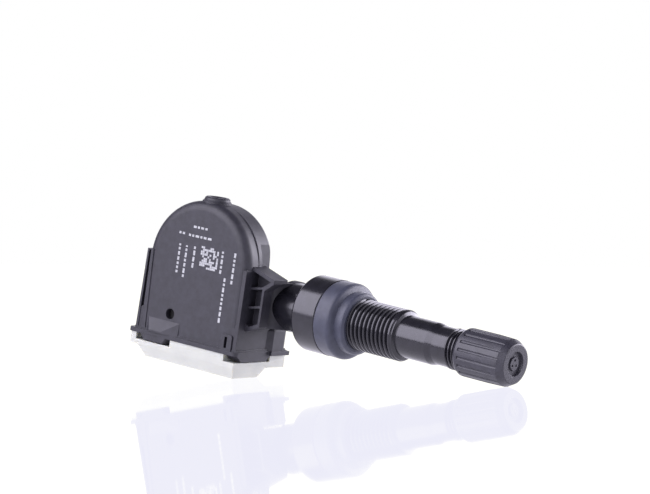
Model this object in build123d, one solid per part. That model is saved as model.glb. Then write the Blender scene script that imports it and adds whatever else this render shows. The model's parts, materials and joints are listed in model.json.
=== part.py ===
from build123d import *

import math
import os

# Tyre pressure monitor with a clamp-in aluminium valve stem, lying on a table on the lower edge
# of its lid and the rim of its valve cap. All sizes are in millimetres and degrees.
#
# Housing frame: x runs towards the stem, y into the depth of the housing from its marked face,
# z up from the underside of the flange. The origin is the flange's front corner by the stem.
# Stem frame: z runs outwards along the stem from its seat (called t here), x is the housing's z.

# ---- driving dimensions: housing -----------------------------------------------------------------
WALL = 1.4
HEAD_X, HEAD_Z, HEAD_R = -12.35, 15.6, 12.35    # centre and radius of the round head
HEAD_FRONT_DEPTH, HEAD_DEPTH = 4.6, 8.1
BUMP_X, BUMP_Z, BUMP_R = -11.5, 16.2, 11.5      # the head's deeper half, over the cell
BUMP_SIDE_LOW, BUMP_SIDE_HIGH = (-0.2, 5.3), (-1.35, 22.3)
FRONT_ROUND, BACK_ROUND = 1.9, 1.0
BASE_LEFT, BASE_DEPTH, BASE_TOP = -24.7, 15.2, 5.3
BASE_INSIDE_TOP = 4.1
FLARE_Y, FLARE_OUT = 9.2, 0.7                   # the deep half of the base stands further out
FLANGE_LEFT, FLANGE_RIGHT, FLANGE_FRONT, FLANGE_BACK = -26.5, 0.35, -0.5, 16.5
FLANGE_T, BEAD_T, BEAD_INSET = 0.8, 0.4, 0.35
NUB_R, NUB_FOOT_R, NUB_H, NUB_Y = 2.45, 2.9, 0.85, 3.7
RAIL_TOP, RAIL_FRONT, RAIL_BACK = 16.65, -0.15, 2.6
RAIL_LOW, RAIL_HIGH = (-25.1, -22.7), (-24.7, -23.25)       # the left rail's sides at foot and top
GROOVE_LOW, GROOVE_HIGH, GROOVE_FLOOR = (-24.55, -23.8), (-24.3, -23.85), 0.75
RAMP_TOP, RAMP_LEFT, RAMP_RIGHT = 3.5, -22.25, -14.4        # top edge of the ramp, on the face
TOE_Y, TOE_Z, TOE_LEFT, TOE_RIGHT = -0.85, 1.15, -21.2, -18.2
RIB_LEFT, RIB_RIGHT, RIB_TOP = -3.9, -1.1, 3.85
SLOT_LEFT, SLOT_RIGHT, SLOT_TOP = -2.85, -2.25, 3.35
PORT_X, PORT_Z, PORT_R = -17.1, 4.95, 1.05
FOOT_DEPTH = 1.15
ROUND_FOOT_X, ROUND_FOOT_Y, ROUND_FOOT_R = -20.2, 2.2, 4.1
FOOT_FRONT = -0.45
BAR_FOOT_X, BAR_FOOT_Y0, BAR_FOOT_Y1 = -2.4, 0.2, 11.0
FOOT_SLOPE = 1.5

# ---- driving dimensions: lid ---------------------------------------------------------------------
LID_PLATE_T, LID_DEPTH = 2.3, 4.31              # plate, and plate with its boss
LID_LEFT, LID_RIGHT, LID_FRONT, LID_BACK = -26.2, 0.0, -0.3, 16.2
BOSS_LEFT, BOSS_BACK = -21.7, 8.02              # edges of the boss's flat bottom
BOSS_TAPER = 2.2
TRAY_FLOOR = 3.3
LIP_H, LIP_T = 0.85, 0.8
FIT_GAP = 0.2
NOTCH_HALF, NOTCH_BACK = 4.3, 1.2               # front opening for the round foot
LIP_BOX = (BASE_LEFT + WALL + FIT_GAP, -WALL - FIT_GAP, WALL + FIT_GAP, BASE_DEPTH - WALL - FIT_GAP)
TRAY_BOX = (-15.8, -3.6, 2.4, 9.0)

# ---- driving dimensions: electronics -------------------------------------------------------------
BOARD_T = 0.8
CELL_R, CELL_T = 10.0, 5.0                      # a 20 x 5 mm lithium coin cell
CELL_X, CELL_Z = -11.75, 16.1
CELL_FRONT, CELL_WALL, CELL_RING_T = 1.6, 0.3, 0.35
TAB_T, TAB_W = 0.15, 3.0

# ---- driving dimensions: swivel seat -------------------------------------------------------------
SEAT_X, SEAT_Y, SEAT_Z = 4.95, 10.4, 10.38      # where the stem's axis meets the seat
SEAT_R, SEAT_T, SEAT_GAP = 7.0, 1.6, 0.05       # curved seat that the stem swivels on
SEAT_DISC_R = 4.95
STEM_YAW = 4.78                                 # turned towards the marked face at rest
SWIVEL_HALF = 12.0
BRACKET_FRONT, BRACKET_WEB, BRACKET_BACK = 1.9, 3.9, 4.6
BRACKET_ROOT, ARM_RIGHT, ROOF_RIGHT = -0.5, 3.2, 5.2
ROOF_T, ROOF_BACK = 0.75, 6.2

# ---- driving dimensions: stem, as places t along it ----------------------------------------------
NECK_R, COLLAR_R, SPIGOT_R = 4.77, 7.37, 4.6
T_COLLAR, T_GROMMET, T_GROMMET_END = 5.15, 10.85, 17.0
GROMMET_STEP_R, T_STEP, T_STEP_END = 5.95, 14.95, 16.6   # the step that fills the rim hole
AIR_HOLE_R, T_AIR_HOLE = 1.0, 9.3
MAIN_R, MAIN_PITCH, MAIN_DEPTH = 4.9, 1.0, 0.55
T_MAIN_END, T_BARREL = 27.3, 28.0
BARREL_R, T_BARREL_END = 3.97, 34.9
TIP_R, T_CONE_END, T_VALVE_THREAD, T_MOUTH = 3.66, 36.3, 39.3, 50.4
VALVE_R, VALVE_PITCH, VALVE_DEPTH, VALVE_LEAD_IN = 3.85, 0.79375, 0.45, 0.5
CORE_HOLE_R, CHAMBER_R, BORE_R = 2.65, 1.95, 1.6
T_CHAMBER, T_CONE_SEAT, T_CORE_HOLE = 34.4, 42.5, 43.5
SCREW_R, SCREW_HEAD_R, SCREW_HEAD_T, SCREW_DEPTH = 1.5, 2.25, 1.5, 6.0

# ---- driving dimensions: cap ---------------------------------------------------------------------
CAP_R, T_CAP, T_CAP_TIP = 4.5, 41.8, 53.0
CAP_BORE_R, T_CAP_CEILING, CAP_SEAL_T = 3.98, 51.3, 0.8
CAP_FLUTES, FLUTE_R = 18, 0.32
THREAD_GAP = 0.1
PIN_R, PIN_TRAVEL = 0.45, 1.0

# ---- shared geometry -----------------------------------------------------------------------------
STANDING = (Align.CENTER, Align.CENTER, Align.MIN)
STEM_FRAME = Plane(
    origin=(SEAT_X, SEAT_Y, SEAT_Z),
    x_dir=(0, 0, 1),
    z_dir=(math.cos(math.radians(STEM_YAW)), -math.sin(math.radians(STEM_YAW)), 0),
).location
PIVOT_X = SEAT_X - SEAT_R * math.cos(math.radians(STEM_YAW))
PIVOT_Y = SEAT_Y + SEAT_R * math.sin(math.radians(STEM_YAW))


def block(x0, x1, y0, y1, z0, z1):
    """A box between two corners."""
    return Pos(x0, y0, z0) * Box(x1 - x0, y1 - y0, z1 - z0, align=(Align.MIN,) * 3)


def post(x, y, r, z0, z1):
    """An upright cylinder."""
    return Pos(x, y, z0) * Cylinder(r, z1 - z0, align=STANDING)


def rod(x, z, r, y0, y1):
    """A cylinder that runs in depth, along y."""
    return Pos(x, y0, z) * Rot(-90, 0, 0) * Cylinder(r, y1 - y0, align=STANDING)


def turned(profile):
    """A solid of revolution about z from (radius, height) points."""
    outline = Polyline(*[(r, 0, t) for r, t in profile], close=True)
    return revolve(make_face(outline), Axis.Z)


def prism_xz(points, y0, y1):
    """A profile of (x, z) points run in depth from y0 to y1."""
    face = make_face(Polyline(*[(x, y0, z) for x, z in points], close=True))
    return extrude(face, amount=y1 - y0, dir=(0, 1, 0))


def prism_xy(points, z0, z1):
    """A footprint of (x, y) points run upwards from z0 to z1."""
    face = make_face(Polyline(*[(x, y, z0) for x, y in points], close=True))
    return extrude(face, amount=z1 - z0, dir=(0, 0, 1))


def upright_edges(part, *corners):
    """The vertical edges of a part that pass nearest to the given (x, y) corners."""
    lines = part.edges().filter_by(Axis.Z)
    return [min(lines, key=lambda e: math.dist(tuple(e.center())[:2], corner)) for corner in corners]


def thread_sweep(pitch, t0, turns, tip_r, tip_half, base_r):
    """A helical ridge or groove with 60 degree flanks, from a narrow tip out to a wide base."""
    base_half = tip_half + abs(base_r - tip_r) * math.tan(math.radians(30))
    section = Polyline(
        (tip_r, 0, t0 - tip_half),
        (tip_r, 0, t0 + tip_half),
        (base_r, 0, t0 + base_half),
        (base_r, 0, t0 - base_half),
        close=True,
    )
    path = Helix(pitch, pitch * turns, tip_r, center=(0, 0, t0))
    return sweep(make_face(section), path=path, is_frenet=True)


# ---- housing -------------------------------------------------------------------------------------
def arch(x, z, r, y0, y1):
    """A round-topped slab that stands on the flange."""
    return block(x - r, x + r, y0, y1, FLANGE_T, z) + rod(x, z, r, y0, y1)


def round_edges(part, y):
    """The curved outline edges of a part at depth y."""
    return part.edges().filter_by(GeomType.CIRCLE).filter_by_position(Axis.Y, y - 0.01, y + 0.01)


def head_shell():
    """The round-topped head that holds the cell upright: a wide front and a narrower bump behind it."""
    front = arch(HEAD_X, HEAD_Z, HEAD_R, 0, HEAD_FRONT_DEPTH)
    stem_side_edge = upright_edges(front, (HEAD_X + HEAD_R, 0))
    front = fillet(list(round_edges(front, 0)) + stem_side_edge, FRONT_ROUND)
    bump = arch(BUMP_X, BUMP_Z, BUMP_R, HEAD_FRONT_DEPTH - 1, HEAD_DEPTH)
    bump = fillet(round_edges(bump, HEAD_DEPTH), BACK_ROUND)
    (x0, z0), (x1, z1) = BUMP_SIDE_LOW, BUMP_SIDE_HIGH
    over, lean = 5, (x1 - x0) / (z1 - z0)
    leaning_side = [
        (x0 - lean * over, z0 - over),
        (x0 + over, z0 - over),
        (x0 + over, z1 + over),
        (x1 + lean * over, z1 + over),
    ]
    return front + (bump - prism_xz(leaning_side, HEAD_FRONT_DEPTH, HEAD_DEPTH + 1))


def top_nub():
    """The moulding-gate nub on top, flared at its foot and with a shallow dish."""
    return Pos(HEAD_X, NUB_Y, HEAD_Z + HEAD_R + NUB_H) * turned([
        (0, -3), (NUB_FOOT_R, -3), (NUB_FOOT_R, -0.95), (NUB_R + 0.1, -0.55), (NUB_R, -0.2),
        (NUB_R - 0.25, 0), (NUB_R - 0.7, 0), (NUB_R - 0.9, -0.25), (0, -0.25),
    ])


def base_shell():
    """The lower, deeper half that covers the circuit board."""
    footprint = [
        (BASE_LEFT, 0),
        (0, 0),
        (0, FLARE_Y),
        (FLARE_OUT, FLARE_Y + 1.4),
        (FLARE_OUT, BASE_DEPTH),
        (BASE_LEFT, BASE_DEPTH),
    ]
    shell = prism_xy(footprint, 0, BASE_TOP)
    shell = fillet(upright_edges(shell, (FLARE_OUT, BASE_DEPTH), (BASE_LEFT, BASE_DEPTH)), 1.3)
    top = shell.faces().sort_by(Axis.Z)[-1]
    back_edges = [e for e in top.edges() if e.center().Y > FLARE_Y]
    return chamfer(back_edges, 0.5)


def flange():
    """The rim around the open underside, with a thin bead on top."""
    rim = block(FLANGE_LEFT, FLANGE_RIGHT, FLANGE_FRONT, FLANGE_BACK, 0, FLANGE_T)
    corners = [(x, y) for x in (FLANGE_LEFT, FLANGE_RIGHT) for y in (FLANGE_FRONT, FLANGE_BACK)]
    rim = fillet(upright_edges(rim, *corners), 0.9)
    bead = block(BASE_LEFT - 0.5, FLANGE_RIGHT - BEAD_INSET + 0.2, FLANGE_FRONT + BEAD_INSET,
                 FLANGE_BACK - 1.0, 0, FLANGE_T + BEAD_T)
    step = block(FLARE_OUT - 1, FLARE_OUT + 0.35, FLARE_Y + 0.9, FLANGE_BACK - 0.6, 0, FLANGE_T)
    return rim + bead + step


def tapered_strip(low, high, z0, z1, y0, y1):
    """A strip whose sides stand at the x places low at height z0 and high at height z1."""
    return prism_xz([(low[0], z0), (low[1], z0), (high[1], z1), (high[0], z1)], y0, y1)


def side_rails():
    """The grooved rail left of the face and the plain one at the stem side."""
    left = tapered_strip(RAIL_LOW, RAIL_HIGH, FLANGE_T, RAIL_TOP, RAIL_FRONT, RAIL_BACK)
    groove_z0, groove_z1 = FLANGE_T + BEAD_T, RAIL_TOP - 0.25
    left -= tapered_strip(GROOVE_LOW, GROOVE_HIGH, groove_z0, groove_z1, RAIL_FRONT - 1, GROOVE_FLOOR)
    right = block(-0.85, 0.0, RAIL_FRONT, 1.5, FLANGE_T, RAIL_TOP)
    return left + chamfer(right.edges().group_by(Axis.Z)[-1], 0.15)


def face_ramp():
    """The small faceted ramp on the face above the round foot, undercut on its stem side."""
    root = 0.3
    section = [(root, RAMP_TOP), (0, RAMP_TOP), (TOE_Y, TOE_Z), (TOE_Y, FLANGE_T), (root, FLANGE_T)]
    face = make_face(Polyline(*[(RAMP_LEFT, y, z) for y, z in section], close=True))
    ramp = extrude(face, amount=RAMP_RIGHT - RAMP_LEFT, dir=(1, 0, 0))
    middle = Vector((TOE_LEFT + TOE_RIGHT) / 2, TOE_Y / 4, (RAMP_TOP + FLANGE_T) / 2)
    for corner, toe, low_point in (
        ((RAMP_LEFT, 0, RAMP_TOP), (TOE_LEFT, TOE_Y, TOE_Z), (RAMP_LEFT, 0, FLANGE_T)),
        ((RAMP_RIGHT, 0, RAMP_TOP), (TOE_RIGHT, TOE_Y, TOE_Z), (RAMP_RIGHT + 0.4, 0, RAMP_TOP - 1)),
    ):
        corner = Vector(*corner)
        normal = (Vector(*toe) - corner).cross(Vector(*low_point) - corner)
        keep = Keep.TOP if normal.dot(middle - corner) > 0 else Keep.BOTTOM
        ramp = split(ramp, bisect_by=Plane(origin=corner, z_dir=normal), keep=keep)
    return ramp


def slotted_rib():
    """The small raised arch at the foot of the face; its slot is cut with the housing."""
    rib = block(RIB_LEFT, RIB_RIGHT, -0.35, 0.2, FLANGE_T, RIB_TOP)
    top = [e for e in rib.edges().filter_by(Axis.Y) if e.center().Z > RIB_TOP - 0.1]
    return fillet(top, 0.55)


def feet():
    """Two feet under the flange: a round one by the face and a long one on the stem side."""
    round_foot = Pos(ROUND_FOOT_X, ROUND_FOOT_Y, -FOOT_DEPTH) * Cone(
        ROUND_FOOT_R - 0.6, ROUND_FOOT_R, FOOT_DEPTH, align=STANDING)
    reach = ROUND_FOOT_R + 1
    round_foot -= block(ROUND_FOOT_X - reach, ROUND_FOOT_X + reach, -reach, FOOT_FRONT, -FOOT_DEPTH - 1, 1)
    side = [
        (BAR_FOOT_Y0, 0),
        (BAR_FOOT_Y1, 0),
        (BAR_FOOT_Y1 - FOOT_SLOPE, -FOOT_DEPTH),
        (BAR_FOOT_Y0 + FOOT_SLOPE, -FOOT_DEPTH),
    ]
    face = make_face(Polyline(*[(BAR_FOOT_X, y, z) for y, z in side], close=True))
    bar_foot = extrude(face, amount=FLANGE_RIGHT - BAR_FOOT_X, dir=(1, 0, 0))
    return round_foot + bar_foot


def bracket():
    """Ribbed arm that carries the curved seat for the stem, under a roof that reaches further out."""
    root, right, wall = BRACKET_ROOT, ARM_RIGHT, ARM_RIGHT - 0.5
    roof_line = [(ROOF_RIGHT, 15.75), (root, 17.5)]
    foot = [(root, 4.7), (0.8, 5.1), (right, 6.2)]
    arm = prism_xz([*foot, (right, 13.3), (ROOF_RIGHT, 14.9), *roof_line], BRACKET_FRONT, BRACKET_BACK)
    upper = [(0, 13.45), (wall, 13.95), (ROOF_RIGHT - 0.8, 15.2), (0, 16.75)]
    middle = [(0, 9.75), (wall, 10.3), (wall, 13.5), (0, 13.0)]
    lower = [(0, 6.3), (0.7, 5.9), (wall, 6.8), (wall, 9.85), (0, 9.3)]
    for pocket in (upper, middle, lower):
        arm -= prism_xz(pocket, BRACKET_FRONT - 1, BRACKET_WEB)
    roof_underside = [(x, z - ROOF_T) for x, z in reversed(roof_line)]
    roof = prism_xz(roof_line + roof_underside, BRACKET_FRONT, ROOF_BACK)
    return arm + roof + swivel_seat()


def swivel_seat():
    """A curved plate about the swivel axis, round in outline, with a slot for the screw."""
    outer = post(PIVOT_X, PIVOT_Y, SEAT_R, SEAT_Z - SEAT_DISC_R, SEAT_Z + SEAT_DISC_R)
    inner = post(PIVOT_X, PIVOT_Y, SEAT_R - SEAT_T, SEAT_Z - SEAT_DISC_R - 1, SEAT_Z + SEAT_DISC_R + 1)
    arc = outer - inner
    window = Pos(PIVOT_X, PIVOT_Y, SEAT_Z) * Rot(0, 90, 0) * Cylinder(
        SEAT_DISC_R, SEAT_R * 2, align=STANDING)
    strip_half = SEAT_DISC_R - 0.4
    front_strip = block(-0.4, SEAT_X, BRACKET_WEB, PIVOT_Y - 1, SEAT_Z - strip_half, SEAT_Z + strip_half)
    seat = arc & (window + front_strip)
    slot_half = SEAT_R * math.sin(math.radians(SWIVEL_HALF)) + SCREW_R + 0.1
    slot = Pos(SEAT_X, PIVOT_Y, SEAT_Z) * Rot(0, 90, 0) * extrude(
        SlotOverall(2 * slot_half, 2 * SCREW_R + 0.25, rotation=90), amount=4, both=True)
    return seat - slot


def housing():
    """The dark moulding: its outside shapes, less the cell pocket, board space, port and slot."""
    body = head_shell() + base_shell() + flange() + side_rails() + top_nub() + face_ramp()
    body = body + slotted_rib() + feet() + bracket()
    pocket_r, pocket_back = CELL_R + 0.15, HEAD_DEPTH - 1.3
    body -= rod(CELL_X, CELL_Z, pocket_r, WALL, pocket_back)
    body -= block(CELL_X - pocket_r, CELL_X + pocket_r, WALL, pocket_back, 1, CELL_Z)
    body -= block(BASE_LEFT + WALL, -WALL, WALL, BASE_DEPTH - WALL, -2, BASE_INSIDE_TOP)
    body -= rod(PORT_X, PORT_Z, PORT_R, -2, WALL + 0.1)
    body -= block(SLOT_LEFT, SLOT_RIGHT, -1, 0.9, FLANGE_T + BEAD_T, SLOT_TOP)
    return body


# ---- lid and potting -----------------------------------------------------------------------------
def lid_boss():
    """The deeper middle of the lid, tapered down to its flat bottom."""
    top = Plane(origin=(0, 0, -LID_PLATE_T + 0.01))
    bottom = Plane(origin=(0, 0, -LID_DEPTH))

    def sheet(plane, x0, x1, y0, y1):
        return plane * Pos((x0 + x1) / 2, (y0 + y1) / 2) * Rectangle(x1 - x0, y1 - y0)

    return loft([
        sheet(bottom, BOSS_LEFT, LID_RIGHT, 0, BOSS_BACK),
        sheet(top, BOSS_LEFT - BOSS_TAPER, LID_RIGHT, LID_FRONT, BOSS_BACK + BOSS_TAPER + 0.3),
    ])


def lid():
    """Clear nylon cover with a tray for the potting and notches for the housing's feet."""
    plate = block(LID_LEFT, LID_RIGHT, LID_FRONT, LID_BACK, -LID_PLATE_T, 0)
    corners = [(LID_LEFT, y) for y in (LID_FRONT, LID_BACK)]
    plate = fillet(upright_edges(plate, *corners), 0.8)
    thick_end = block(-7.5, LID_RIGHT, 10.5, LID_BACK, -LID_PLATE_T - 0.3, -LID_PLATE_T + 0.01)
    cover = plate + thick_end + lid_boss()
    notch_z = -FOOT_DEPTH - FIT_GAP
    cover -= post(ROUND_FOOT_X, ROUND_FOOT_Y, ROUND_FOOT_R + FIT_GAP, notch_z, 1)
    cover -= block(ROUND_FOOT_X - NOTCH_HALF, ROUND_FOOT_X + NOTCH_HALF, -2, NOTCH_BACK, notch_z, 1)
    cover -= block(BAR_FOOT_X - FIT_GAP, 2, -2, BAR_FOOT_Y1 + FIT_GAP, notch_z, 1)
    x0, x1, y0, y1 = LIP_BOX
    cover += block(x0, x1, y0, y1, -0.5, LIP_H)
    return cover - potting_space()


def potting_space():
    """The room inside the lid's lip and tray, which the cast resin fills."""
    x0, x1, y0, y1 = LIP_BOX
    inside = block(x0 + LIP_T, x1 - LIP_T - 0.5, y0 + LIP_T, y1 - LIP_T, -0.7, LIP_H)
    return inside + block(*TRAY_BOX, -TRAY_FLOOR, -0.5)


# ---- electronics ---------------------------------------------------------------------------------
BOARD_TOP = LIP_H + BOARD_T


def circuit_board():
    board = block(-23.1, -1.6, 1.6, 13.6, LIP_H, BOARD_TOP)
    corners = [(x, y) for x in (-23.1, -1.6) for y in (1.6, 13.6)]
    return fillet(upright_edges(board, *corners), 0.5)


def sensor_package():
    body = block(-19.75, -14.45, 1.75, 6.05, BOARD_TOP, BOARD_TOP + 1.1)
    return body - post(PORT_X, 3.9, 1.2, BOARD_TOP + 0.4, BOARD_TOP + 2)


def sensor_cap():
    plate = block(-19.55, -14.65, 1.95, 5.85, BOARD_TOP + 1.1, BOARD_TOP + 1.35)
    return plate - post(PORT_X, 3.9, 0.6, BOARD_TOP, BOARD_TOP + 2)


def port_membrane():
    return rod(PORT_X, PORT_Z, 1.5, WALL, WALL + 0.2)


def port_seal():
    """Silicone elbow that leads the air from the port down to the sensor."""
    z0 = BOARD_TOP + 1.35
    body = block(PORT_X - 1.8, PORT_X + 1.8, WALL + 0.2, 5.4, z0, 6.0)
    body = fillet(upright_edges(body, (PORT_X - 1.8, 5.4), (PORT_X + 1.8, 5.4)), 0.8)
    body -= rod(PORT_X, PORT_Z, 0.7, WALL, 3.9)
    return body - post(PORT_X, 3.9, 0.7, z0 - 1, PORT_Z + 0.4)


def cell_edge(part, y):
    """The outer round edge of a cell part at depth y."""
    rims = part.edges().filter_by(GeomType.CIRCLE).filter_by_position(Axis.Y, y - 0.05, y + 0.05)
    return max(rims, key=lambda e: e.radius)


def coin_cell():
    """Steel can, negative cap, the plastic ring between them and the pellets inside."""
    front, back = CELL_FRONT, CELL_FRONT + CELL_T
    can_r, ring_r = CELL_R - CELL_WALL, CELL_R - CELL_WALL - CELL_RING_T
    can = rod(CELL_X, CELL_Z, CELL_R, front + 0.35, back)
    can = fillet(cell_edge(can, back), 0.7)
    can -= rod(CELL_X, CELL_Z, can_r, front, back - CELL_WALL)
    ring = rod(CELL_X, CELL_Z, can_r, front + 0.5, back - CELL_WALL)
    ring -= rod(CELL_X, CELL_Z, ring_r, 0, HEAD_DEPTH)
    cap = rod(CELL_X, CELL_Z, ring_r, front, back - CELL_WALL)
    cap = fillet(cell_edge(cap, front), 0.5)
    pellets = rod(CELL_X, CELL_Z, ring_r - CELL_WALL, front + CELL_WALL, back - CELL_WALL)
    return can, cap - pellets, ring, pellets


def cell_tab(x, y_plate, y_foot):
    """A welded strip from a face of the cell down to its pad on the board."""
    y0, y1 = sorted((y_plate, y_plate + math.copysign(TAB_T, y_plate - HEAD_DEPTH / 2)))
    strip = block(x, x + TAB_W, y0, y1, BOARD_TOP, 10.5)
    foot = block(x, x + TAB_W, min(y0, y_foot), max(y1, y_foot), BOARD_TOP, BOARD_TOP + TAB_T)
    return strip + foot


def lf_coil():
    """Ferrite bar with end flanges and its copper winding."""
    x0, y0, z0 = -21.2, 9.2, BOARD_TOP
    length, width, height, flange_t = 8.0, 2.6, 2.1, 1.1
    flanges = [block(x, x + flange_t, y0, y0 + width, z0, z0 + height) for x in (x0, x0 + length - flange_t)]
    bar = block(x0, x0 + length, y0 + 0.6, y0 + width - 0.6, z0 + 0.5, z0 + height - 0.5)
    core = flanges[0] + flanges[1] + bar
    wound_x0, wound_x1 = x0 + flange_t, x0 + length - flange_t
    winding = block(wound_x0, wound_x1, y0 + 0.15, y0 + width - 0.15, z0 + 0.1, z0 + height - 0.1)
    return core, winding - bar


def antenna():
    """Bent copper strip that stands over the board as a loop."""
    x0, x1, y0, y1, top = -10.5, -2.4, 11.6, 12.8, 3.9
    strip = block(x0, x1, y0, y1, BOARD_TOP, top)
    return strip - block(x0 + 0.3, x1 - 0.3, y0 - 1, y1 + 1, BOARD_TOP - 1, top - 0.3)


def chips():
    """Chip capacitors and resistors around the controller."""
    places = [
        (-12.0, 9.0), (-12.0, 10.2), (-10.2, 8.4), (-10.2, 9.6),
        (-4.0, 8.2), (-4.0, 9.4), (-22.0, 2.6), (-22.0, 4.0),
    ]
    return [block(x, x + 1.0, y, y + 0.5, BOARD_TOP, BOARD_TOP + 0.5) for x, y in places]


def crystal():
    can = block(-8.3, -5.1, 8.2, 10.7, BOARD_TOP, BOARD_TOP + 0.8)
    return fillet(can.edges().group_by(Axis.Z)[-1], 0.25)


def controller():
    chip = block(-7.6, -3.4, 2.4, 6.0, BOARD_TOP, BOARD_TOP + 0.85)
    return chip - post(-6.9, 3.0, 0.25, BOARD_TOP + 0.75, BOARD_TOP + 1)


# ---- stem and valve, in the stem frame -----------------------------------------------------------
def swivel_cylinder(radius, reach):
    """A cylinder about the swivel axis, which is parallel to the stem frame's x."""
    return Pos(0, 0, -SEAT_R) * Rot(0, 90, 0) * Cylinder(radius, reach)


def threaded_tip():
    """The end of the stem that takes the cap: a threaded rod trimmed to length and chamfered."""
    start, over = T_VALVE_THREAD, 2.5
    turns = (T_MOUTH - start + over / 2) / VALVE_PITCH
    tip = post(0, 0, VALVE_R, start - over, T_MOUTH + over)
    groove_floor = VALVE_R - VALVE_DEPTH
    tip -= thread_sweep(VALVE_PITCH, start + VALVE_LEAD_IN, turns, groove_floor, 0.03, VALVE_R + 0.12)
    return tip & turned([
        (0, start), (TIP_R, start), (VALVE_R + 0.01, start + 0.15), (VALVE_R + 0.01, T_MOUTH - 0.5),
        (VALVE_R - 0.5, T_MOUTH), (0, T_MOUTH),
    ])


def rims_at(part, t, radius):
    """The round edges at place t that have at least the given radius."""
    rims = part.edges().filter_by(GeomType.CIRCLE)
    return [e for e in rims if abs(e.center().Z - t) < 0.01 and e.radius > radius - 0.01]


def stem():
    """The turned aluminium stem: neck, collar, spigot, nut thread, barrel and cap thread."""
    spigot_end = T_GROMMET_END - 0.3
    body = turned([
        (0, -2.5), (NECK_R, -2.5), (NECK_R, T_COLLAR), (COLLAR_R, T_COLLAR), (COLLAR_R, T_GROMMET),
        (SPIGOT_R, T_GROMMET), (SPIGOT_R, spigot_end), (MAIN_R, spigot_end), (MAIN_R, T_MAIN_END),
        (MAIN_R - 0.25, T_MAIN_END + 0.25), (MAIN_R - 0.3, T_BARREL - 0.25), (BARREL_R, T_BARREL),
        (BARREL_R, T_BARREL_END), (TIP_R, T_CONE_END), (TIP_R, T_VALVE_THREAD), (0, T_VALVE_THREAD),
    ])
    body = fillet(rims_at(body, T_COLLAR, COLLAR_R), 0.55)
    body = chamfer(rims_at(body, T_GROMMET, COLLAR_R), 0.12)
    body -= swivel_cylinder(SEAT_R + SEAT_GAP, 4 * NECK_R)
    body -= thread_sweep(MAIN_PITCH, T_GROMMET_END + 0.35, 9.85, MAIN_R - MAIN_DEPTH, 0.06, MAIN_R + 0.15)
    body += threaded_tip()
    body -= turned([
        (0, 7.6), (BORE_R, 8.2), (BORE_R, T_CHAMBER), (CHAMBER_R, T_CHAMBER + 0.3), (CHAMBER_R, T_CONE_SEAT),
        (CORE_HOLE_R, T_CORE_HOLE), (CORE_HOLE_R, T_MOUTH - 0.4),
        (CORE_HOLE_R + 0.3, T_MOUTH + 0.1), (0, T_MOUTH + 0.1),
    ])
    body -= turned([(0, -3), (SCREW_R, -3), (SCREW_R, SCREW_DEPTH), (0, SCREW_DEPTH + 0.8)])
    return body - Pos(0, 0, T_AIR_HOLE) * Rot(90, 0, 0) * post(0, 0, AIR_HOLE_R, 0, COLLAR_R + 1)


def grommet():
    """Rubber sleeve that seals the stem in the rim hole."""
    t_shoulder, skirt_r = T_GROMMET + 3.6, COLLAR_R - 0.02
    ring = turned([
        (SPIGOT_R, T_GROMMET), (skirt_r - 0.05, T_GROMMET), (skirt_r, t_shoulder),
        (GROMMET_STEP_R, T_STEP), (GROMMET_STEP_R, T_STEP_END), (5.4, T_GROMMET_END),
        (MAIN_R + 0.02, T_GROMMET_END), (MAIN_R + 0.02, T_GROMMET_END - 0.3), (SPIGOT_R, T_GROMMET_END - 0.3),
    ])
    ring = fillet(rims_at(ring, t_shoulder, skirt_r), 0.95)
    ring = fillet(rims_at(ring, T_STEP_END, GROMMET_STEP_R), 0.5)
    return fillet(rims_at(ring, T_GROMMET, skirt_r - 0.05), 0.2)


def stem_screw():
    """Torx screw that clamps the stem on its curved seat."""
    underside = SEAT_R - SEAT_T - SEAT_GAP
    head_t0 = underside - SCREW_HEAD_T - SEAT_R
    head = turned([(0, head_t0), (SCREW_HEAD_R, head_t0), (SCREW_HEAD_R, 0), (0, 0)])
    head = chamfer(head.edges().filter_by(GeomType.CIRCLE).sort_by(Axis.Z)[0], 0.25)
    head &= swivel_cylinder(underside, 4 * NECK_R)
    shank_t0, shank_t1 = head_t0 + 1.1, SCREW_DEPTH - 0.4
    shank = turned([
        (0, shank_t0), (SCREW_R, shank_t0), (SCREW_R, shank_t1 - 0.5),
        (SCREW_R - 0.5, shank_t1), (0, shank_t1),
    ])
    recess_depth, lobes = 1.6, 6
    recess = Cylinder(1.0, recess_depth)
    for lobe in range(lobes):
        recess += Rot(0, 0, 360 / lobes * lobe) * Pos(0.97, 0, 0) * Cylinder(0.36, recess_depth)
    return head + shank - Pos(0, 0, head_t0 + 0.1) * recess


def core_plug():
    """Threaded top of the valve core, with the bridge that guides the pin."""
    t0, t1 = 44.6, 48.8
    plug = turned([(1.25, t0), (CORE_HOLE_R, t0), (CORE_HOLE_R, 47.6), (2.1, 47.9), (2.1, t1), (1.25, t1)])
    bridge = (Box(1.0, 4.0, 0.7) & Cylinder(2.1, 2.0)) - Cylinder(PIN_R + 0.06, 2.0)
    return plug + Pos(0, 0, t1 - 0.35) * bridge


def core_barrel():
    barrel = turned([(1.0, 37.2), (1.45, 37.2), (1.6, 37.5), (1.6, 44.6), (1.0, 44.6)])
    floor = turned([(PIN_R + 0.06, 44.2), (1.1, 44.2), (1.1, 44.6), (PIN_R + 0.06, 44.6)])
    vents = [Rot(0, 0, angle) * Pos(0.85, 0, 44.4) * Box(0.5, 0.4, 1.0) for angle in (0, 120, 240)]
    for vent in vents:
        floor -= vent
    return barrel + floor


def core_gasket():
    return turned([(1.6, 42.6), (1.9, 42.6), (2.52, 43.5), (2.52, 44.3), (2.2, 44.55), (1.6, 44.55)])


def core_spring():
    t0, t1, coils = 44.73, 46.35, 4
    pitch = (t1 - t0) / coils
    path = Helix(pitch, t1 - t0, 0.85, center=(0, 0, t0))
    return sweep(Plane(path @ 0, z_dir=path % 0) * Circle(0.12), path=path, is_frenet=True)


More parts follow.
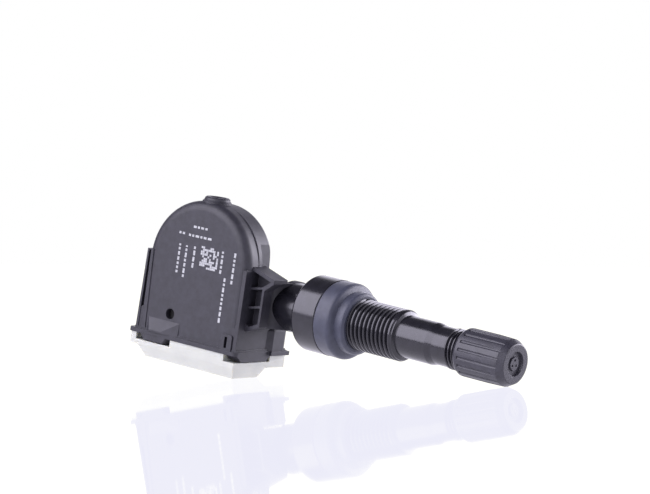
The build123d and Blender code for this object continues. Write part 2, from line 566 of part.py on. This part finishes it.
def core_pin():
    """Valve pin with the spring collar near its top and its cup at the inner end."""
    return turned([
        (0, 35.9), (PIN_R, 35.9), (PIN_R, 47.55), (1.0, 47.55), (1.0, 47.95), (PIN_R, 47.95),
        (PIN_R, 49.9), (0.3, 50.15), (0, 50.15),
    ])


def core_cup():
    return turned([(PIN_R, 35.9), (1.3, 35.9), (1.55, 36.2), (1.55, 36.55), (PIN_R, 36.55)])


def core_seal():
    return turned([(PIN_R, 36.55), (1.5, 36.55), (1.5, 37.15), (PIN_R, 37.15)])


# ---- cap, in the stem frame ----------------------------------------------------------------------
def cap():
    """Screw cap with a fluted grip, a dished end and a thread ridge inside."""
    body = turned([
        (CAP_BORE_R, T_CAP), (CAP_R - 0.35, T_CAP), (CAP_R, T_CAP + 0.55), (CAP_R, T_CAP + 6.5),
        (CAP_R - 0.1, T_CAP_TIP - 1.3), (CAP_R - 0.75, T_CAP_TIP - 0.1), (CAP_R - 0.95, T_CAP_TIP),
        (2.3, T_CAP_TIP), (2.1, T_CAP_TIP - 0.6), (1.35, T_CAP_TIP - 0.6), (1.2, T_CAP_TIP - 0.25),
        (0, T_CAP_TIP - 0.25), (0, T_CAP_CEILING), (CAP_BORE_R, T_CAP_CEILING),
    ])
    flute = post(CAP_R + 0.12, 0, FLUTE_R, T_CAP + 1.1, T_CAP_TIP + 1)
    for place in range(CAP_FLUTES):
        body -= Rot(0, 0, 360 / CAP_FLUTES * place) * flute
    dimple = post(0.65, 0, 0.22, T_CAP_TIP - 0.5, T_CAP_TIP)
    for place in range(3):
        body -= Rot(0, 0, 120 * place) * dimple
    ridge_t0 = T_VALVE_THREAD + VALVE_LEAD_IN + 4 * VALVE_PITCH
    ridge = thread_sweep(VALVE_PITCH, ridge_t0, 7.4, VALVE_R - VALVE_DEPTH + 0.22, 0.03, CAP_BORE_R + 0.08)
    return body + ridge


def cap_seal():
    """The flat rubber disc under the cap's ceiling."""
    return post(0, 0, CAP_BORE_R - 0.25, T_CAP_CEILING - CAP_SEAL_T, T_CAP_CEILING)


# ---- assembly ------------------------------------------------------------------------------------
def resting_tilt():
    """Angle at which the lid's lower edge and the cap's rim both touch the table."""
    along = math.cos(math.radians(STEM_YAW))
    rim_t, rim_r = T_CAP_TIP - 1.3, CAP_R - 0.1

    def clearance(tilt):
        s, c = math.sin(tilt), math.cos(tilt)
        edge = -s * LID_RIGHT - c * LID_DEPTH
        rim_centre = -s * (SEAT_X + rim_t * along) + c * SEAT_Z
        return rim_centre - rim_r * math.sqrt(1 - (s * along) ** 2) - edge

    low, high = 0.0, math.radians(30)
    while high - low > 1e-9:
        middle = (low + high) / 2
        if clearance(middle) > 0:
            low = middle
        else:
            high = middle
    return math.degrees(low)


TILT = resting_tilt()
TABLE_FROM_HOUSING = Rot(0, TILT, 0)


def all_parts():
    can, cell_top, cell_ring, pellets = coin_cell()
    coil_core, coil_winding = lf_coil()
    housing_parts = {
        "housing": housing(),
        "lid": lid(),
        "potting": potting_space(),
        "circuit_board": circuit_board(),
        "sensor_package": sensor_package(),
        "sensor_cap": sensor_cap(),
        "port_membrane": port_membrane(),
        "port_seal": port_seal(),
        "cell_can": can,
        "cell_cap": cell_top,
        "cell_ring": cell_ring,
        "cell_pellets": pellets,
        "cell_tab_back": cell_tab(-9.5, CELL_FRONT + CELL_T, 7.6),
        "cell_tab_front": cell_tab(-13.0, CELL_FRONT, 2.9),
        "lf_coil_core": coil_core,
        "lf_coil_winding": coil_winding,
        "antenna_strip": antenna(),
        "chip_components": Compound(children=chips()),
        "crystal_can": crystal(),
        "controller_chip": controller(),
    }
    stem_parts = {
        "valve_stem": stem(),
        "rim_grommet": grommet(),
        "stem_screw": stem_screw(),
        "core_plug": core_plug(),
        "core_barrel": core_barrel(),
        "core_gasket": core_gasket(),
        "core_spring": core_spring(),
        "core_pin": core_pin(),
        "core_cup": core_cup(),
        "core_seal": core_seal(),
        "valve_cap": cap(),
        "cap_seal": cap_seal(),
    }
    placed = {name: TABLE_FROM_HOUSING * shape for name, shape in housing_parts.items()}
    placed |= {name: TABLE_FROM_HOUSING * STEM_FRAME * part for name, part in stem_parts.items()}
    return placed


def whole_box(parts):
    boxes = [shape.bounding_box() for shape in parts.values()]
    low = [min(tuple(b.min)[i] for b in boxes) for i in range(3)]
    high = [max(tuple(b.max)[i] for b in boxes) for i in range(3)]
    return low, high


PARTS = all_parts()
LOW, HIGH = whole_box(PARTS)
SHIFT = Pos(-(LOW[0] + HIGH[0]) / 2, -(LOW[1] + HIGH[1]) / 2, -LOW[2])

os.makedirs("parts", exist_ok=True)
for name, shape in PARTS.items():
    export_step(SHIFT * shape, f"parts/{name}.step")
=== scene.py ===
import json
import math
import random

import bpy
from mathutils import Matrix, Vector


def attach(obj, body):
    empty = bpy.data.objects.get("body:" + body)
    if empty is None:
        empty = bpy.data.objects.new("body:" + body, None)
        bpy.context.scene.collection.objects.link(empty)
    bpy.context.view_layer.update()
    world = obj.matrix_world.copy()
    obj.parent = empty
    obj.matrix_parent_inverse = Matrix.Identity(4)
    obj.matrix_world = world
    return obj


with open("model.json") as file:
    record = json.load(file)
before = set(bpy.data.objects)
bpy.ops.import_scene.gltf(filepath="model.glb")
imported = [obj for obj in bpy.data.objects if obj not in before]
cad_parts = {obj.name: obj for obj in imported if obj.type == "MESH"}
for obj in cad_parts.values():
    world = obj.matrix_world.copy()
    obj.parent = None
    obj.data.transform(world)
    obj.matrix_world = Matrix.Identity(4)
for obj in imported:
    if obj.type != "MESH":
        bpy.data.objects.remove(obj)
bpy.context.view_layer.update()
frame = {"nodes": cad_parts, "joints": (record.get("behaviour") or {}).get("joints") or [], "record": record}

MM = 0.001

# ---- the object's own directions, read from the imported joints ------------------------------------
joints = {joint["name"]: joint for joint in frame["joints"]}
HEAD_UP = Vector(joints["stem_swivel"]["axis"]).normalized()
DEPTH = Vector((0, 1, 0))
HEAD_RIGHT = DEPTH.cross(HEAD_UP).normalized()
STEM_OUT = Vector(joints["cap_turn"]["axis"]).normalized()
PIVOT_PLACE = (-2.026, 10.983, 10.38)   # the swivel's place on the housing, in millimetres
CORNER = (
    Vector(joints["stem_swivel"]["pos_m"])
    - PIVOT_PLACE[0] * MM * HEAD_RIGHT - PIVOT_PLACE[1] * MM * DEPTH - PIVOT_PLACE[2] * MM * HEAD_UP
)


def on_housing(x, y, z):
    """A point from the front corner of the flange: x to the stem, y into the depth, z up the head."""
    return CORNER + x * MM * HEAD_RIGHT + y * MM * DEPTH + z * MM * HEAD_UP


# ---- node helpers --------------------------------------------------------------------------------
class Shader:
    """A Principled material with short names for the nodes that its surface detail needs."""

    def __init__(self, name, **sockets):
        self.material = bpy.data.materials.new(name)
        self.material.use_nodes = True
        self.nodes = self.material.node_tree.nodes
        self.links = self.material.node_tree.links
        self.bsdf = self.nodes["Principled BSDF"]
        for socket, value in sockets.items():
            self.bsdf.inputs[socket.replace("_", " ")].default_value = value
        self.normal = None

    def add(self, kind, inputs=None, **settings):
        node = self.nodes.new(kind)
        for name, value in settings.items():
            setattr(node, name, value)
        for name, value in (inputs or {}).items():
            if isinstance(value, bpy.types.NodeSocket):
                self.links.new(value, node.inputs[name])
            else:
                node.inputs[name].default_value = value
        return node

    def position(self):
        return self.add("ShaderNodeTexCoord").outputs["Object"]

    def noise(self, scale, detail=3.0, roughness=0.5, vector=None):
        node = self.add(
            "ShaderNodeTexNoise",
            {"Vector": vector or self.position(), "Scale": scale, "Detail": detail, "Roughness": roughness},
        )
        return node.outputs["Fac"]

    def ramp(self, factor, *stops):
        node = self.add("ShaderNodeValToRGB", {"Fac": factor})
        elements = node.color_ramp.elements
        while len(elements) < len(stops):
            elements.new(0.5)
        for element, (place, colour) in zip(elements, stops):
            element.position = place
            element.color = (*colour, 1) if len(colour) == 3 else colour
        return node.outputs["Color"]

    def span(self, factor, low, high):
        node = self.add("ShaderNodeMapRange", {"Value": factor, "To Min": low, "To Max": high})
        return node.outputs["Result"]

    def colour(self, socket):
        self.links.new(socket, self.bsdf.inputs["Base Color"])

    def roughness(self, socket):
        self.links.new(socket, self.bsdf.inputs["Roughness"])

    def soften_edges(self, radius):
        node = self.add("ShaderNodeBevel", {"Radius": radius}, samples=4)
        self.normal = node.outputs["Normal"]

    def bump(self, height, strength, distance):
        inputs = {"Height": height, "Strength": strength, "Distance": distance}
        if self.normal:
            inputs["Normal"] = self.normal
        self.normal = self.add("ShaderNodeBump", inputs).outputs["Normal"]

    def done(self):
        if self.normal:
            self.links.new(self.normal, self.bsdf.inputs["Normal"])
        return self.material


def grey(value, blue=0.0):
    return (value, value * (1 + blue / 2), value * (1 + blue))


def violet(value):
    """A dark grey with the faint violet cast of the moulded parts."""
    return (value, value * 0.97, value * 1.35)


# ---- materials -----------------------------------------------------------------------------------
def moulded_black():
    """Glass-filled nylon: very dark blue-grey, matt, with a fine spark-eroded grain."""
    s = Shader("moulded_black", Specular_IOR_Level=0.35)
    s.colour(s.ramp(s.noise(900, 4), (0.3, violet(0.010)), (0.7, violet(0.017))))
    s.roughness(s.span(s.noise(350, 3), 0.42, 0.56))
    s.soften_edges(0.12 * MM)
    s.bump(s.noise(5200, 2), 0.22, 0.02 * MM)
    return s.done()


def milky_nylon():
    s = Shader("milky_nylon", Subsurface_Weight=0.6, Subsurface_Scale=1.2 * MM, Roughness=0.32)
    s.bsdf.inputs["Subsurface Radius"].default_value = (1.0, 0.9, 0.7)
    s.colour(s.ramp(s.noise(260, 3), (0.3, (0.32, 0.33, 0.30)), (0.7, (0.36, 0.37, 0.33))))
    s.soften_edges(0.15 * MM)
    s.bump(s.noise(1400, 2), 0.08, 0.02 * MM)
    return s.done()


def cast_resin():
    s = Shader("cast_resin", Roughness=0.35)
    s.colour(s.ramp(s.noise(400, 2), (0.3, (0.75, 0.7, 0.52)), (0.7, (0.84, 0.8, 0.64))))
    return s.done()


def anodised_black():
    """Turned aluminium, black anodised and polished: faint rings from the lathe."""
    s = Shader("anodised_black", Metallic=0.35, Specular_IOR_Level=0.6)
    s.colour(s.ramp(s.noise(700, 3), (0.3, violet(0.008)), (0.7, violet(0.013))))
    s.roughness(s.span(s.noise(450, 3), 0.16, 0.25))
    s.soften_edges(0.06 * MM)
    s.bump(lathe_rings(s, 0.09 * MM), 0.06, 0.01 * MM)
    return s.done()


def lathe_rings(s, pitch):
    """A value that varies only along the stem, like tool marks."""
    along = s.add("ShaderNodeVectorMath", {1: tuple(STEM_OUT)}, operation="DOT_PRODUCT")
    s.links.new(s.position(), along.inputs[0])
    vector = s.add("ShaderNodeCombineXYZ", {"X": along.outputs["Value"]}).outputs["Vector"]
    return s.noise(1 / pitch, 2, vector=vector)


def stem_rubber():
    s = Shader("stem_rubber", Specular_IOR_Level=0.4, Sheen_Weight=0.15, Sheen_Roughness=0.4)
    s.colour(s.ramp(s.noise(800, 4), (0.3, (0.018, 0.020, 0.034)), (0.75, (0.028, 0.031, 0.050))))
    s.roughness(s.span(s.noise(500, 3), 0.4, 0.55))
    s.soften_edges(0.12 * MM)
    s.bump(s.noise(3600, 3), 0.15, 0.02 * MM)
    return s.done()


def cap_plastic():
    s = Shader("cap_plastic", Specular_IOR_Level=0.4)
    s.colour(s.ramp(s.noise(900, 4), (0.3, violet(0.014)), (0.7, violet(0.022))))
    s.roughness(s.span(s.noise(600, 3), 0.36, 0.48))
    s.soften_edges(0.1 * MM)
    s.bump(s.noise(4200, 2), 0.2, 0.02 * MM)
    return s.done()


def plain(name, colour, roughness, metallic=0.0, grain=2500, **sockets):
    """A simple finish with a little mottling and grain, for the inner pieces."""
    s = Shader(name, Metallic=metallic, **sockets)
    darker = tuple(c * 0.82 for c in colour)
    s.colour(s.ramp(s.noise(700, 3), (0.3, darker), (0.7, colour)))
    s.roughness(s.span(s.noise(900, 2), roughness * 0.85, roughness * 1.15))
    s.bump(s.noise(grain, 2), 0.1, 0.01 * MM)
    return s.done()


def ink():
    s = Shader("pale_ink", Roughness=0.6)
    s.colour(s.ramp(s.noise(3000, 3), (0.35, grey(0.2, 0.05)), (0.65, grey(0.3, 0.05))))
    return s.done()


SLOT_FINISH = {
    "housing_plastic": moulded_black(),
    "clear_nylon": milky_nylon(),
    "potting_resin": cast_resin(),
    "anodised_aluminium": anodised_black(),
    "stem_rubber": stem_rubber(),
    "cap_plastic": cap_plastic(),
    "board": plain("solder_mask", (0.03, 0.16, 0.06), 0.3),
    "chip_black": plain("moulded_chip", grey(0.02), 0.5),
    "steel": plain("plated_steel", (0.62, 0.61, 0.58), 0.3, metallic=1.0),
    "membrane": plain("dark_film", grey(0.006), 0.8),
    "seal_rubber": plain("seal_rubber", grey(0.03), 0.6),
    "cell_filling": plain("pressed_powder", grey(0.05), 0.8),
    "ferrite": plain("ferrite", grey(0.04), 0.5),
    "copper": plain("enamelled_copper", (0.7, 0.3, 0.14), 0.3, metallic=1.0),
    "ceramic": plain("ceramic", (0.5, 0.38, 0.25), 0.4),
    "brass": plain("turned_brass", (0.75, 0.56, 0.26), 0.25, metallic=1.0),
}

for part in frame["record"]["subparts"]:
    mesh = frame["nodes"][part["node"]].data
    mesh.materials.clear()
    mesh.materials.append(SLOT_FINISH[part["material_slot"]])


# ---- smooth shading ------------------------------------------------------------------------------
def shade_smooth(obj, angle):
    bpy.context.view_layer.objects.active = obj
    for other in bpy.context.selected_objects:
        other.select_set(False)
    obj.select_set(True)
    bpy.ops.object.shade_smooth_by_angle(angle=math.radians(angle))


for node in frame["nodes"].values():
    shade_smooth(node, 30)


# ---- printed marks on the face -------------------------------------------------------------------
PRINT_LIFT = 0.02                   # how far the ink stands off the face, in millimetres
DASH_GAP, DASH_LENGTHS = 0.32, (0.5, 0.7, 0.9)
DASH_HALF_ROW, DASH_HALF_COLUMN = 0.22, 0.24
DASH_ROWS = (                       # x0, x1, z0, z1 of each row of dashes across the face
    (-14.3, -10.9, 22.0, 23.4),
    (-15.2, -9.6, 20.3, 21.6),
    (-17.6, -16.2, 20.6, 21.5),
)
DASH_COLUMNS = (                    # the same for the columns that run down the face
    (-17.7, -16.3, 13.2, 18.9),
    (-15.9, -14.7, 12.6, 18.8),
    (-13.9, -12.7, 14.8, 19.0),
    (-6.0, -4.2, 5.6, 14.4),
    (-7.2, -5.6, 14.9, 19.2),
    (-4.1, -2.7, 13.4, 19.6),
)
CODE_BOX = (-11.7, -7.3, 15.1, 19.4)
CODE_CELLS, CODE_FILL, CODE_INK = 10, 0.55, 0.92      # per side, share inked, share of the pitch
dash_random = random.Random(7)


class Print:
    """Flat inked cells on the marked face, gathered into one thin mesh."""

    def __init__(self):
        self.corners = []
        self.faces = []

    def cell(self, x0, x1, z0, z1):
        first = len(self.corners)
        self.corners += [on_housing(x, -PRINT_LIFT, z) for x, z in ((x0, z0), (x1, z0), (x1, z1), (x0, z1))]
        self.faces.append(tuple(range(first, first + 4)))

    def finish(self, name, material):
        mesh = bpy.data.meshes.new(name)
        mesh.from_pydata(self.corners, [], self.faces)
        piece = bpy.data.objects.new(name, mesh)
        bpy.context.collection.objects.link(piece)
        mesh.materials.append(material)
        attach(piece, "sensor")


def dashes(start, end, place):
    """Short dashes of uneven length from start to end; place turns a span into a cell."""
    at = start
    while at < end - 0.2:
        length = min(dash_random.choice(DASH_LENGTHS), end - at)
        place(at, at + length)
        at += length + DASH_GAP


def face_marks():
    """Dash rows and a meaningless dot square where the real part carries its printing."""
    cells = Print()
    for x0, x1, z0, z1 in DASH_ROWS:
        middle = (z0 + z1) / 2
        dashes(x0, x1, lambda a, b: cells.cell(a, b, middle - DASH_HALF_ROW, middle + DASH_HALF_ROW))
    for x0, x1, z0, z1 in DASH_COLUMNS:
        middle = (x0 + x1) / 2
        dashes(z0, z1, lambda a, b: cells.cell(middle - DASH_HALF_COLUMN, middle + DASH_HALF_COLUMN, a, b))
    x0, x1, z0, z1 = CODE_BOX
    pitch_x, pitch_z = (x1 - x0) / CODE_CELLS, (z1 - z0) / CODE_CELLS
    for column in range(CODE_CELLS):
        for row in range(CODE_CELLS):
            if dash_random.random() < CODE_FILL:
                left, low = x0 + column * pitch_x, z0 + row * pitch_z
                cells.cell(left, left + pitch_x * CODE_INK, low, low + pitch_z * CODE_INK)
    cells.finish("face_marks", ink())


face_marks()


# ---- floor, light and camera ---------------------------------------------------------------------
STUDIO_TINT = (0.9, 0.87, 1.0)
FLOOR_LIGHT = 1.7                                    # how strongly the table lights the object
FLOOR_GLOW, FLOOR_MIRROR = (0.83, 0.83, 0.94), (0.2, 0.2, 0.07)     # how the camera sees the table
ROOM_DARK, ROOM_BRIGHT = 0.15, 1.9
ROOM_SIDE = (0.5, 0.87, 0)                           # the bright side: behind and to the right
VIEW_AZIMUTH, VIEW_ELEVATION = math.radians(35.501), math.radians(-0.119)
VIEW_DISTANCE, VIEW_ACROSS, VIEW_HEIGHT = 476.447 * MM, 17.142 * MM, 25.162 * MM    # from the corner
LENS, SENSOR = 138.46, 36


def pale_floor():
    """A bright table: to the camera it shows a faint, even mirror image of the object."""
    bpy.ops.mesh.primitive_plane_add(size=6)
    floor = bpy.context.object
    floor.name = "floor"
    material = bpy.data.materials.new("floor_white")
    material.use_nodes = True
    nodes, links = material.node_tree.nodes, material.node_tree.links
    mirror = nodes.new("ShaderNodeAddShader")
    for place, (kind, colour) in enumerate((("Emission", FLOOR_GLOW), ("BsdfGlossy", FLOOR_MIRROR))):
        layer = nodes.new("ShaderNode" + kind)
        layer.inputs["Color"].default_value = (*colour, 1)
        links.new(layer.outputs[0], mirror.inputs[place])
    layer.inputs["Roughness"].default_value = 0.03
    as_light = nodes.new("ShaderNodeEmission")
    as_light.inputs["Color"].default_value = (*STUDIO_TINT, 1)
    as_light.inputs["Strength"].default_value = FLOOR_LIGHT
    either = nodes.new("ShaderNodeMixShader")
    links.new(nodes.new("ShaderNodeLightPath").outputs["Is Camera Ray"], either.inputs[0])
    links.new(as_light.outputs[0], either.inputs[1])
    links.new(mirror.outputs[0], either.inputs[2])
    links.new(either.outputs[0], nodes["Material Output"].inputs["Surface"])
    floor.data.materials.append(material)


def softbox(name, place, aim, width, height, power, colour=(1, 1, 1)):
    data = bpy.data.lights.new(name, "AREA")
    data.shape = "RECTANGLE"
    data.size, data.size_y = width, height
    data.energy = power
    data.color = colour
    lamp = bpy.data.objects.new(name, data)
    bpy.context.collection.objects.link(lamp)
    lamp.location = place
    lamp.rotation_euler = (Vector(aim) - Vector(place)).to_track_quat("-Z", "Y").to_euler()
    lamp.visible_camera = False


def white_room():
    """White to the eye; as a light it is bright only low down behind the object."""
    world = bpy.data.worlds.new("white_room")
    bpy.context.scene.world = world
    world.use_nodes = True
    nodes, links = world.node_tree.nodes, world.node_tree.links
    ray = nodes.new("ShaderNodeLightPath")
    outward = nodes.new("ShaderNodeTexCoord").outputs["Generated"]
    direction = nodes.new("ShaderNodeSeparateXYZ")
    links.new(outward, direction.inputs[0])

    def fade(socket, start, end, low, high):
        node = nodes.new("ShaderNodeMapRange")
        node.interpolation_type = "SMOOTHSTEP"
        for name, value in (("From Min", start), ("From Max", end), ("To Min", low), ("To Max", high)):
            node.inputs[name].default_value = value
        links.new(socket, node.inputs["Value"])
        return node.outputs["Result"]

    turned = nodes.new("ShaderNodeVectorMath")
    turned.operation = "DOT_PRODUCT"
    turned.inputs[1].default_value = ROOM_SIDE
    links.new(outward, turned.inputs[0])
    behind = fade(turned.outputs["Value"], -0.3, 0.2, 0, 1)
    low_down = fade(direction.outputs["Z"], 0.4, 0.75, 1, 0)
    glow = nodes.new("ShaderNodeMath")
    glow.operation = "MULTIPLY"
    links.new(behind, glow.inputs[0])
    links.new(low_down, glow.inputs[1])
    level = fade(glow.outputs[0], 0, 1, ROOM_DARK, ROOM_BRIGHT)
    seen = nodes.new("ShaderNodeMix")
    links.new(ray.outputs["Is Camera Ray"], seen.inputs["Factor"])
    links.new(level, seen.inputs["A"])
    seen.inputs["B"].default_value = 1.0
    links.new(seen.outputs[0], nodes["Background"].inputs["Strength"])
    tint = nodes.new("ShaderNodeMix")
    tint.data_type = "RGBA"
    links.new(ray.outputs["Is Camera Ray"], tint.inputs["Factor"])
    colour_a, colour_b = tint.inputs[6], tint.inputs[7]
    colour_a.default_value = (*STUDIO_TINT, 1)
    colour_b.default_value = (1, 1, 1, 1)
    links.new(tint.outputs[2], nodes["Background"].inputs["Color"])


def photo_camera():
    """A long lens almost at table height, turned to the right of the marked face."""
    forward = Vector((
        -math.sin(VIEW_AZIMUTH) * math.cos(VIEW_ELEVATION),
        math.cos(VIEW_AZIMUTH) * math.cos(VIEW_ELEVATION),
        -math.sin(VIEW_ELEVATION),
    ))
    right = Vector((math.cos(VIEW_AZIMUTH), math.sin(VIEW_AZIMUTH), 0))
    up = right.cross(forward)
    below_corner = Vector((CORNER.x, CORNER.y, 0))
    data = bpy.data.cameras.new("camera")
    data.sensor_width = SENSOR
    data.lens = LENS
    data.clip_start = 0.01
    camera = bpy.data.objects.new("camera", data)
    bpy.context.collection.objects.link(camera)
    place = below_corner - VIEW_DISTANCE * forward + VIEW_ACROSS * right + VIEW_HEIGHT * up
    camera.matrix_world = Matrix.Translation(place) @ Matrix((right, up, -forward)).transposed().to_4x4()
    bpy.context.scene.camera = camera


bpy.context.scene.view_settings.view_transform = "Standard"
pale_floor()
white_room()
softbox("key", (-0.3, -0.78, 0.56), (0, 0, 0), 1.5, 1.1, 34, STUDIO_TINT)
softbox("rim", (0.52, 0.74, 0.22), (0, 0, 0.02), 0.7, 0.5, 13, STUDIO_TINT)
photo_camera()
